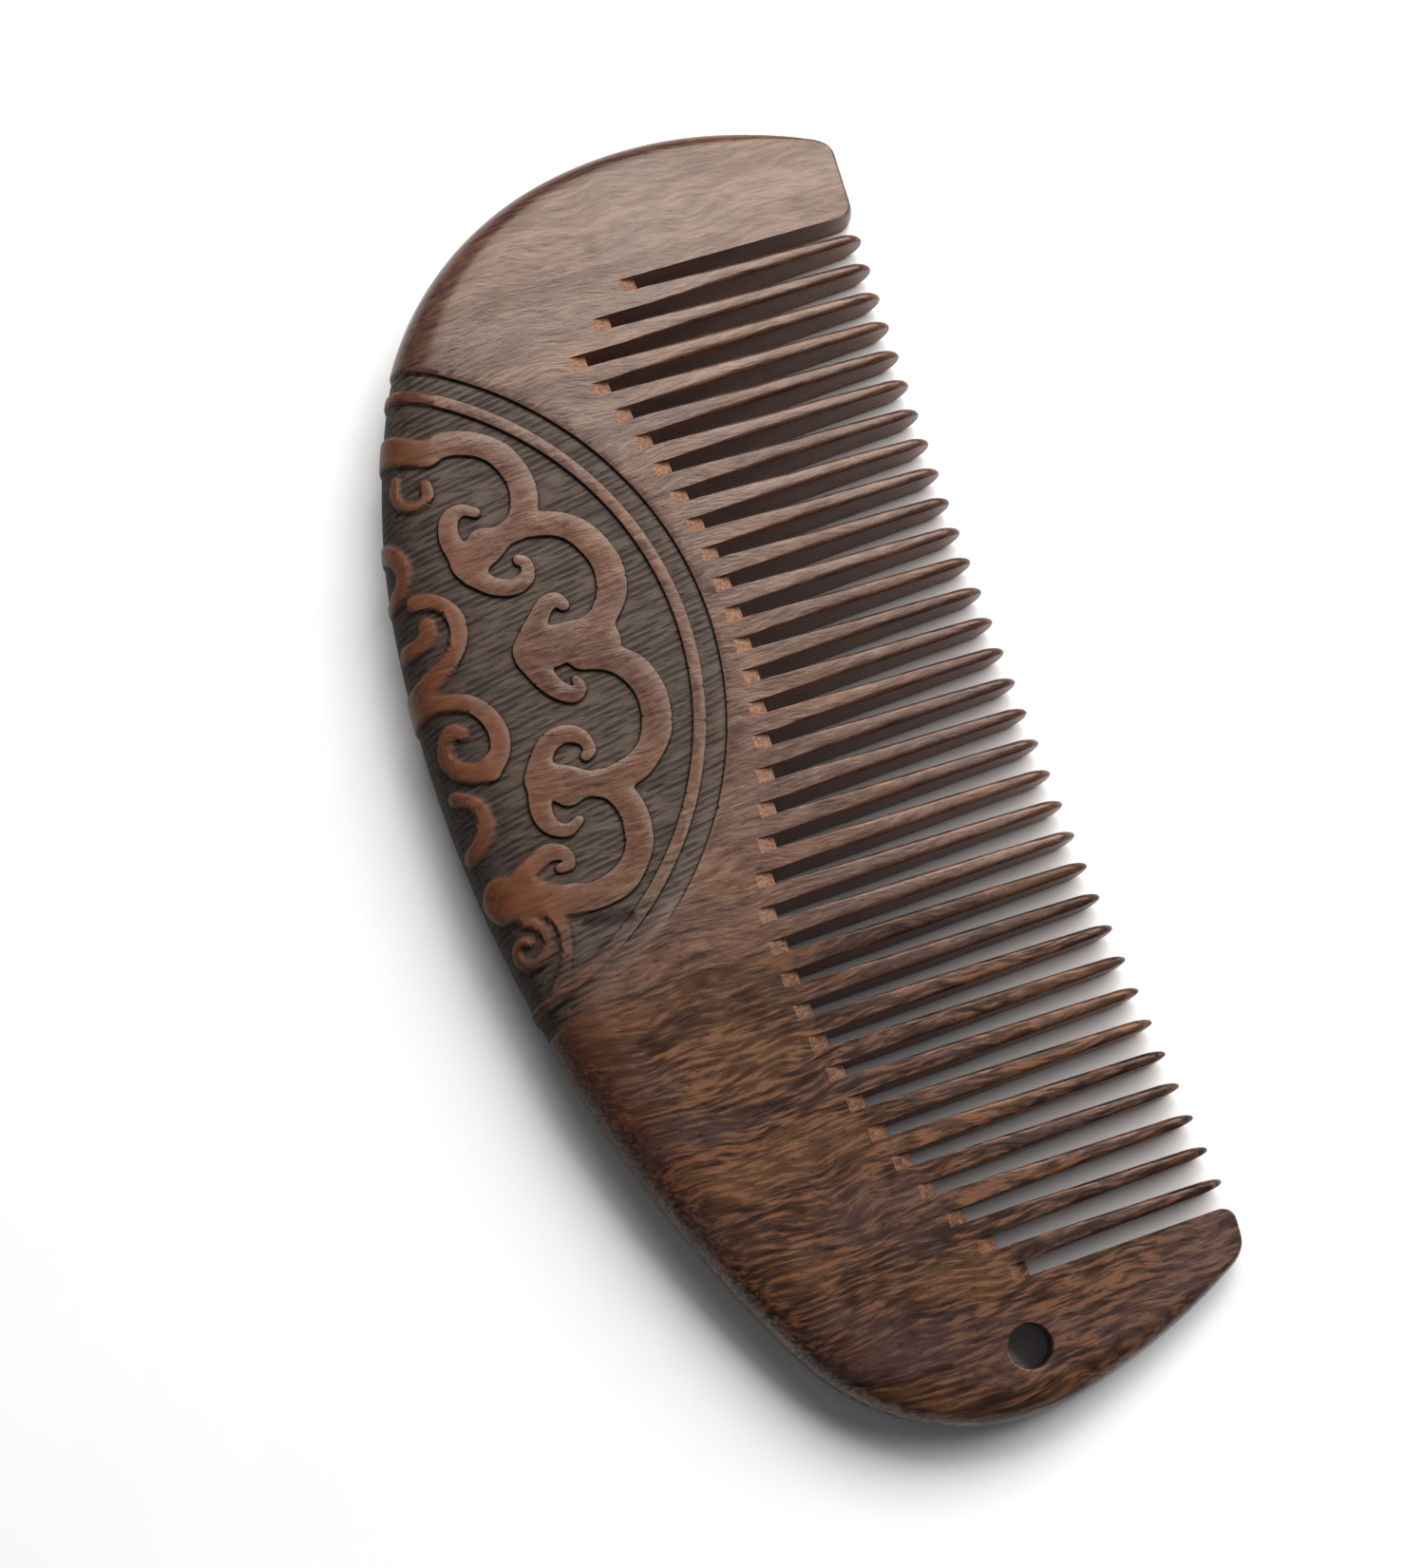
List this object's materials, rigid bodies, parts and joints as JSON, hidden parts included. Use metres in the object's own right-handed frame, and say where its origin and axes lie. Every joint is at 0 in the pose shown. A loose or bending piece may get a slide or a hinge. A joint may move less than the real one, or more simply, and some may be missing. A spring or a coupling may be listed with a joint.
{
  "type": "beard comb",
  "caption": "Crescent-backed wooden beard comb: wedge-section blank glued from two staves, a row of tapered teeth between two guards, carved half-medallion on the spine, hanging hole.",
  "frame": {"origin": "middle of the bounding box, on the back face the comb rests on", "axes": "+X along the row of teeth towards the guard with the hanging hole, +Y from the spine towards the tooth tips, +Z out of the front face"},
  "size_m": [0.1217, 0.0547, 0.0099],
  "materials": {
    "wide_stave_wood": "oiled and polished dark rosewood, straight-grained, with burnt and hatched carving",
    "narrow_stave_wood": "oiled and polished dark rosewood with strong interlocked figure"
  },
  "bodies": {
    "root": {"wide_stave": "wide_stave_wood", "narrow_stave": "narrow_stave_wood"}
  },
  "joints": []
}
